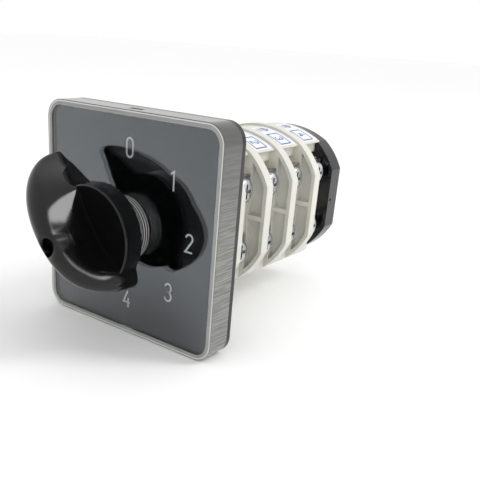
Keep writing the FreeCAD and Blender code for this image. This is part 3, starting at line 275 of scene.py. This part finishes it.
materials = {
    # ABS from a polished mould: deep black with sharp white reflections and a soft grip crest
    "knob": mouldedPlastic("polished_black_abs", {
        "dark": "030304", "light": "050506", "roughness": 0.08, "cloudMm": 9, "grainMm": 3.5,
        "reliefMm": 0.003, "edgeMm": 0.05, "specular": 0.38,
        "grip": {"startMm": -24.5, "blendMm": 3.0, "radiusMm": 2.5}}),
    # phenolic from a plain mould: black with a broad, dull sheen
    "black": mouldedPlastic("moulded_black_phenolic", {
        "dark": "0c0c0d", "light": "121213", "roughness": 0.32, "cloudMm": 5, "grainMm": 0.5,
        "reliefMm": 0.006, "edgeMm": 0.3}),
    # ABS from a finer mould: black with clearer reflections than the housing
    "rear": mouldedPlastic("moulded_glossy_black_abs", {
        "dark": "060708", "light": "0a0b0c", "roughness": 0.2, "cloudMm": 6, "grainMm": 0.6,
        "reliefMm": 0.004, "edgeMm": 0.3}),
    # clear moulded acrylic: unseen over the dial and grey at its rim and walls, with painted highlights
    # on the rim's line and the collar's rings, and painted shade at the top of the walls
    "clear": clearPlastic("moulded_clear_acrylic", {
        "tint": "fafbfb", "ior": 1.49, "roughness": 0.01, "waveMm": 30, "reliefMm": 0.006,
        "cornerCentreMm": 26.5, "outerHalfMm": 32.0, "rimFadeMm": (30.35, 30.55),
        "highlightLineFadeMm": (31.35, 31.5), "wallFadeMm": (31.7, 31.85), "collarFadeMm": (-9.3, -9.5),
        "rimTint": "d4d5d0", "highlightTint": "fafaf7", "wallDark": "7c7d78", "wallLight": "a0a19c",
        "wallUpperShade": "5c5d59", "wallClear": 0.35, "rimHaze": 0.62, "wallRoughness": 0.12,
        "streakMm": 0.35, "streakShare": 0.04, "streakSpan": (0.38, 0.62),
        "ringMm": 0.9, "ringSpan": (0.3, 0.95)}),
    # a glossy printed polyester sheet: a dark mirror that turns pale grey under the bright room
    "dial": printedSheet("printed_glossy_polyester", {
        "dark": "080b0d", "light": "0c0f12", "roughness": 0.04, "cloudMm": 20, "grainMm": 12,
        "reliefMm": 0.0005, "specular": 0.85, "specularTint": "d4e6f2"}),
    # screen printed ink: flat white, with no gloss
    "white print": printedSheet("screen_printed_white_ink", {
        "dark": "e9ecec", "light": "f2f4f4", "roughness": 0.5, "cloudMm": 3, "grainMm": 0.3,
        "reliefMm": 0.002}),
    # printed ink: flat blue lines, drawn a little heavier than real so that they show
    "blue print": printedSheet("printed_blue_ink", {
        "dark": "37428c", "light": "46519a", "roughness": 0.55, "cloudMm": 1.5, "grainMm": 0.2,
        "reliefMm": 0.002}),
    # coated label paper: a cool white beside the warm white stages
    "label": printedSheet("coated_white_paper", {
        "dark": "dfe2e7", "light": "e7eaee", "roughness": 0.35, "cloudMm": 4, "grainMm": 0.5,
        "reliefMm": 0.002}),
    # moulded nylon: a warm white that lets a little light in, with soft edges
    "stage": mouldedPlastic("moulded_white_nylon", {
        "dark": "cccbc2", "light": "d6d5cc", "roughness": 0.38, "cloudMm": 8, "grainMm": 0.45,
        "reliefMm": 0.008, "edgeMm": 0.3, "subsurface": 0.12}),
    # painted shade: the shaded bottom of a small moulding mark, painted black with no sheen
    "pit shade": mouldedPlastic("shaded_black_abs", {
        "dark": "010101", "light": "020202", "roughness": 0.9, "cloudMm": 2, "grainMm": 0.3,
        "reliefMm": 0.003, "edgeMm": 0.02, "specular": 0.05}),
    # phenolic: a dull red brown, seen only when the stages are open
    "cam": mouldedPlastic("moulded_brown_phenolic", {
        "dark": "7d2b1c", "light": "8c3424", "roughness": 0.35, "cloudMm": 4, "grainMm": 0.5,
        "reliefMm": 0.005, "edgeMm": 0.15}),
    # uncoloured nylon: cream with a waxy sheen
    "slider": mouldedPlastic("moulded_natural_nylon", {
        "dark": "cfc8b6", "light": "d9d2c1", "roughness": 0.35, "cloudMm": 4, "grainMm": 0.5,
        "reliefMm": 0.005, "edgeMm": 0.15}),
    # brass strip as stamped: warm yellow with fine rolling lines
    "brass": platedMetal("stamped_brass", {
        "dark": "c19a52", "light": "d8b269", "roughness": 0.28, "cloudMm": 2.5, "grainMm": 0.25,
        "reliefMm": 0.004, "edgeMm": 0.12}),
    # rolled spring steel: an even light grey shine
    "spring": platedMetal("rolled_spring_steel", {
        "dark": "a7a8aa", "light": "bfc0c2", "roughness": 0.25, "cloudMm": 3, "grainMm": 0.3,
        "reliefMm": 0.003, "edgeMm": 0.08}),
    # zinc plate: bright grey, patchy in its sharpness
    "zinc": platedMetal("bright_zinc_plated_steel", {
        "dark": "a2a5a8", "light": "cfd2d5", "roughness": 0.22, "cloudMm": 1.8, "grainMm": 0.35,
        "reliefMm": 0.006, "edgeMm": 0.22}),
    # drawn bar: a warm grey metal with a light grain
    "shaft": platedMetal("cold_drawn_steel", {
        "dark": "9d9387", "light": "c4bcb0", "roughness": 0.26, "cloudMm": 2.5, "grainMm": 0.3,
        "reliefMm": 0.004, "edgeMm": 0.15}),
    # brushed aluminium foil: pale silver with a soft shine
    "foil": platedMetal("brushed_aluminium_foil", {
        "dark": "c1c5ca", "light": "cbcfd4", "roughness": 0.33, "cloudMm": 6, "grainMm": 0.3,
        "reliefMm": 0.003, "edgeMm": 0.05}),
}
print("stage: materials made")


# Finishes of the CAD nodes

finishOf = (
    ("knob_screw", "zinc"), ("knob", "knob"), ("front_cover", "clear"), ("dial_plate", "dial"),
    ("base_plate", "black"), ("detent_housing", "black"), ("rear_cover", "rear"),
    ("detent_wheel", "slider"), ("detent_spring", "spring"), ("contact_block", "stage"),
    ("cam_", "cam"), ("plunger", "slider"), ("contact_bridge", "brass"), ("contact_spring", "spring"),
    ("terminal_strips", "brass"), ("terminal_screws", "zinc"), ("terminal_washers", "zinc"),
    ("tie_", "zinc"), ("shaft", "shaft"), ("rating_label", "foil"),
)


def finishNodes():
    for name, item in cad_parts.items():
        finish = next(kind for prefix, kind in finishOf if name.startswith(prefix))
        item.data.materials.clear()
        item.data.materials.append(materials[finish])


# New pieces

def addPiece(name, points, faces, finish, body):
    mesh = bpy.data.meshes.new(name)
    mesh.from_pydata([tuple(point) for point in points], [], faces)
    mesh.update()
    mesh.materials.append(materials[finish])
    item = bpy.data.objects.new(name, mesh)
    bpy.context.collection.objects.link(item)
    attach(item, body)
    return item


leastMitre = 0.35


def strokeRibbon(path, width):
    # a flat ribbon of constant width along a path in the plane, mitred at its corners;
    # leastMitre keeps the point of a sharp corner short
    path = np.array(path, float)
    closed = np.allclose(path[0], path[-1])
    ways = np.diff(path, axis=0)
    ways /= np.linalg.norm(ways, axis=1)[:, None]
    sides = np.stack([-ways[:, 1], ways[:, 0]], axis=1)
    offsets = []
    for step in range(len(path)):
        before = sides[step - 1] if step > 0 else (sides[-1] if closed else sides[0])
        after = sides[step] if step < len(sides) else (sides[0] if closed else sides[-1])
        middle = before + after
        middle /= np.linalg.norm(middle)
        offsets.append(middle / max(leastMitre, float(middle @ before)) * width / 2)
    offsets = np.array(offsets)
    points = np.concatenate([path + offsets, path - offsets])
    count = len(path)
    faces = [(step, step + count, step + count + 1, step + 1) for step in range(count - 1)]
    return points, faces


def arcPath(centre, radius, fromDegrees, toDegrees, steps=14):
    angles = np.radians(np.linspace(fromDegrees, toDegrees, steps))
    return [(centre[0] + radius[0] * math.cos(angle), centre[1] + radius[1] * math.sin(angle))
            for angle in angles]


def numeralPaths(digit):
    # narrow upright figures in a box one high, drawn by the middle of their stroke
    paths = {
        "0": [arcPath((0, 0.28), (0.22, 0.22), 0, 180) + arcPath((0, -0.28), (0.22, 0.22), 180, 360)
              + [(0.22, 0.28)]],
        "1": [[(-0.14, 0.36), (0.06, 0.5), (0.06, -0.5)]],
        "2": [arcPath((0, 0.27), (0.22, 0.23), 170, -25) + [(-0.22, -0.45), (0.24, -0.45)]],
        "3": [arcPath((0, 0.25), (0.21, 0.25), 165, -80) + [(-0.04, 0.02)],
              [(-0.04, 0.02)] + arcPath((0, -0.24), (0.23, 0.26), 85, -165)],
        "4": [[(0.08, 0.5), (-0.24, -0.2), (0.26, -0.2)], [(0.12, 0.08), (0.12, -0.5)]],
    }
    return paths[digit]


# lengths in millimetres
dialStyle = {
    "numerals": "01234", "ringRadius": 22.0, "height": 5.1, "stroke": 0.52,
    "stepDegrees": 45, "lift": 0.02,
}


def addDialNumerals():
    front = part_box("dial_plate")[0].y - dialStyle["lift"] * mm
    for index, digit in enumerate(dialStyle["numerals"]):
        angle = math.radians(90 - index * dialStyle["stepDegrees"])
        centre = np.array([math.cos(angle), math.sin(angle)]) * dialStyle["ringRadius"]
        points, faces = [], []
        for path in numeralPaths(digit):
            ribbon, quads = strokeRibbon(np.array(path) * dialStyle["height"], dialStyle["stroke"])
            faces += [tuple(corner + len(points) for corner in quad) for quad in quads]
            points += [((x + centre[0]) * mm, front, (z + centre[1]) * mm) for x, z in ribbon]
        addPiece("dial_numeral_" + digit, points, faces, "white print", "housing")


# lengths in millimetres, and an arc's are measured along the curve of the stage's top
labelStyle = {
    "arcRadius": 30.6, "arcCentre": -7.35, "sheetArc": (1.2, 15.5), "sheetPoints": 25,
    "frontMargin": 3.7, "rearMargin": 0.5, "sheetLift": 0.03, "printLift": 0.06, "stroke": 0.46,
    "boxArc": (8.4, 14.6), "boxDepth": 5.8, "numberHeight": 3.6, "markArc": 4.4, "markSize": 1.5,
    "lineCount": 3, "lineStep": 1.7, "bendStep": 0.7,
}


def onArc(points, lift):
    # across is laid along the arc over the stage's top:
    # angle = across / R, x = (R + lift) sin(angle) and z = centre + (R + lift) cos(angle)
    across, depth = np.array(points, float).T
    radius = labelStyle["arcRadius"] + lift
    angle = across / labelStyle["arcRadius"]
    up = labelStyle["arcCentre"] + radius * np.cos(angle)
    return np.stack([radius * np.sin(angle), depth, up], axis=1) * mm


def finely(path):
    # the same path with points close enough together to bend round the arc, none of them
    # so near a corner that its side would have no clear direction
    path = np.array(path, float)
    reach = np.concatenate([[0], np.cumsum(np.linalg.norm(np.diff(path, axis=0), axis=1))])
    extra = np.arange(0, reach[-1], labelStyle["bendStep"])
    clear = np.abs(extra[:, None] - reach).min(axis=1) > labelStyle["bendStep"] / 5
    places = np.sort(np.concatenate([reach, extra[clear]]))
    return np.stack([np.interp(places, reach, path[:, axis]) for axis in (0, 1)], axis=1)


def labelPaths(number, front, rear):
    # a box with the stage's plain number, an arrowhead, short lines and a line along the front edge
    style = labelStyle
    middle = (front + rear) / 2
    left, right = style["boxArc"]
    low, high = middle - style["boxDepth"] / 2, middle + style["boxDepth"] / 2
    box = [(left, low), (right, low), (right, high), (left, high), (left, low)]
    size = style["markSize"]
    start, end = style["markArc"] - size, style["markArc"] + size
    arrow = [(start, high - size), (style["markArc"], high), (end, high - size), (start, high - size)]
    paths = [box, arrow]
    for step in range(style["lineCount"]):
        level = low + step * style["lineStep"]
        paths.append([(start, level), (end, level)])
    centre = np.array([(left + right) / 2, middle])
    paths += [np.array(path) * style["numberHeight"] + centre for path in numeralPaths(str(number))]
    start, end = style["sheetArc"][0] + style["stroke"], style["sheetArc"][1] - style["stroke"]
    paths.append([(start, front + style["stroke"]), (end, front + style["stroke"])])
    return paths


def addStageLabels():
    stage = 1
    while "contact_block_%d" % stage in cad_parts:
        low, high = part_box("contact_block_%d" % stage)
        front = low.y / mm + labelStyle["frontMargin"]
        rear = high.y / mm - labelStyle["rearMargin"]
        across = np.linspace(*labelStyle["sheetArc"], labelStyle["sheetPoints"])
        sheet = np.concatenate([np.stack([across, np.full_like(across, depth)], axis=1)
                                for depth in (front, rear)])
        count = len(across)
        faces = [(step, step + 1, step + 1 + count, step + count) for step in range(count - 1)]
        addPiece("stage_label_%d" % stage, onArc(sheet, labelStyle["sheetLift"]), faces,
                 "label", "housing")
        points, faces = np.zeros((0, 2)), []
        for path in labelPaths(stage, front, rear):
            ribbon, quads = strokeRibbon(finely(path), labelStyle["stroke"])
            # the label runs from front to rear, so its corners go the other way round to face out
            faces += [tuple(corner + len(points) for corner in reversed(quad)) for quad in quads]
            points = np.concatenate([points, ribbon])
        addPiece("stage_print_%d" % stage, onArc(points, labelStyle["printLift"]), faces,
                 "blue print", "housing")
        stage += 1


markStyle = {"depthMm": 71.9, "levelMm": -0.5, "radiusMm": 0.5, "liftMm": 0.02, "corners": 24}


def addRearMark():
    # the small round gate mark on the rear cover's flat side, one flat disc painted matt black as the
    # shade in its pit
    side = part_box("rear_cover")[1].x / mm + markStyle["liftMm"]
    angles = np.linspace(0, 2 * math.pi, markStyle["corners"], endpoint=False)
    ring = np.stack([np.full_like(angles, side),
                     markStyle["depthMm"] + markStyle["radiusMm"] * np.cos(angles),
                     markStyle["levelMm"] + markStyle["radiusMm"] * np.sin(angles)], axis=1) * mm
    addPiece("rear_cover_gate_pit_shade", ring, [tuple(range(len(angles)))],
             "pit shade", "housing")


def addFlexingSprings():
    # each contact spring is swapped for a copy of its mesh with its place baked in, and the CAD node is
    # hidden
    for name, node in sorted(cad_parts.items()):
        if not name.startswith("contact_spring"):
            continue
        item = bpy.data.objects.new(name + "_flexing", node.data.copy())
        bpy.context.collection.objects.link(item)
        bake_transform(item)
        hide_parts(name)


# Floor, light and camera

cameraStyle = {
    "positionMm": (125.9, -142.1, 52.9), "azimuth": 37.67, "elevation": 22.55, "roll": 3.32,
    "focalPx": 670.3, "imagePx": 480, "centrePx": (186.6, 305.5), "sensorMm": 36.0,
}


def addCamera():
    azimuth = math.radians(cameraStyle["azimuth"])
    elevation = math.radians(cameraStyle["elevation"])
    back = Vector((math.sin(azimuth) * math.cos(elevation), -math.cos(azimuth) * math.cos(elevation),
                   math.sin(elevation)))
    right = Vector((math.cos(azimuth), math.sin(azimuth), 0))
    upward = back.cross(right)
    turn = Matrix((right, upward, back)).transposed()
    turn = turn @ Matrix.Rotation(math.radians(cameraStyle["roll"]), 3, "Z")
    data = bpy.data.cameras.new("camera")
    data.sensor_width = cameraStyle["sensorMm"]
    data.lens = cameraStyle["focalPx"] / cameraStyle["imagePx"] * cameraStyle["sensorMm"]
    data.shift_x = 0.5 - cameraStyle["centrePx"][0] / cameraStyle["imagePx"]
    data.shift_y = cameraStyle["centrePx"][1] / cameraStyle["imagePx"] - 0.5
    data.clip_start = 0.01
    camera = bpy.data.objects.new("camera", data)
    camera.matrix_world = Matrix.Translation(Vector(cameraStyle["positionMm"]) * mm) @ turn.to_4x4()
    bpy.context.collection.objects.link(camera)
    bpy.context.scene.camera = camera


lightStyle = {
    "world": "ffffff", "worldStrength": 1.0, "floor": "fcfcfc", "floorRoughness": 0.9,
    "floorHalf": 3.0, "floorGapMm": 0.2,
    "softboxes": (
        {"name": "knob_softbox", "place": (0.485, 0.337, 0.493), "aim": (-0.005, -0.033, 0.008),
         "size": (0.19, 0.34), "watts": 2.0},
    ),
}


def addLights():
    world = bpy.data.worlds.new("studio")
    world.use_nodes = True
    background = world.node_tree.nodes["Background"]
    background.inputs["Color"].default_value = linear(lightStyle["world"])
    background.inputs["Strength"].default_value = lightStyle["worldStrength"]
    bpy.context.scene.world = world
    for box in lightStyle["softboxes"]:
        data = bpy.data.lights.new(box["name"], "AREA")
        data.shape = "RECTANGLE"
        data.size, data.size_y = box["size"]
        data.energy = box["watts"]
        light = bpy.data.objects.new(box["name"], data)
        place = Vector(box["place"])
        light.location = place
        light.rotation_euler = (Vector(box["aim"]) - place).to_track_quat("-Z", "Y").to_euler()
        bpy.context.collection.objects.link(light)


def addFloor():
    # a broad matt sheet just under the object, as pale as a photographer's paper
    half = lightStyle["floorHalf"]
    level = cadLow.z - lightStyle["floorGapMm"] * mm
    mesh = bpy.data.meshes.new("floor")
    corners = [(-half, -half, level), (half, -half, level), (half, half, level), (-half, half, level)]
    mesh.from_pydata(corners, [], [(0, 1, 2, 3)])
    shader = {"Base Color": linear(lightStyle["floor"]), "Roughness": lightStyle["floorRoughness"]}
    mesh.materials.append(newMaterial("pale_paper_floor", shader)[0])
    floor = bpy.data.objects.new("floor", mesh)
    bpy.context.collection.objects.link(floor)


finishNodes()
print("stage: frame finished")
addDialNumerals()
print("stage: numerals printed")
addStageLabels()
addRearMark()
print("stage: labels and mark added")
addFlexingSprings()
addFloor()
addLights()
addCamera()
bpy.context.scene.view_settings.view_transform = "Standard"
print("stage: studio set")
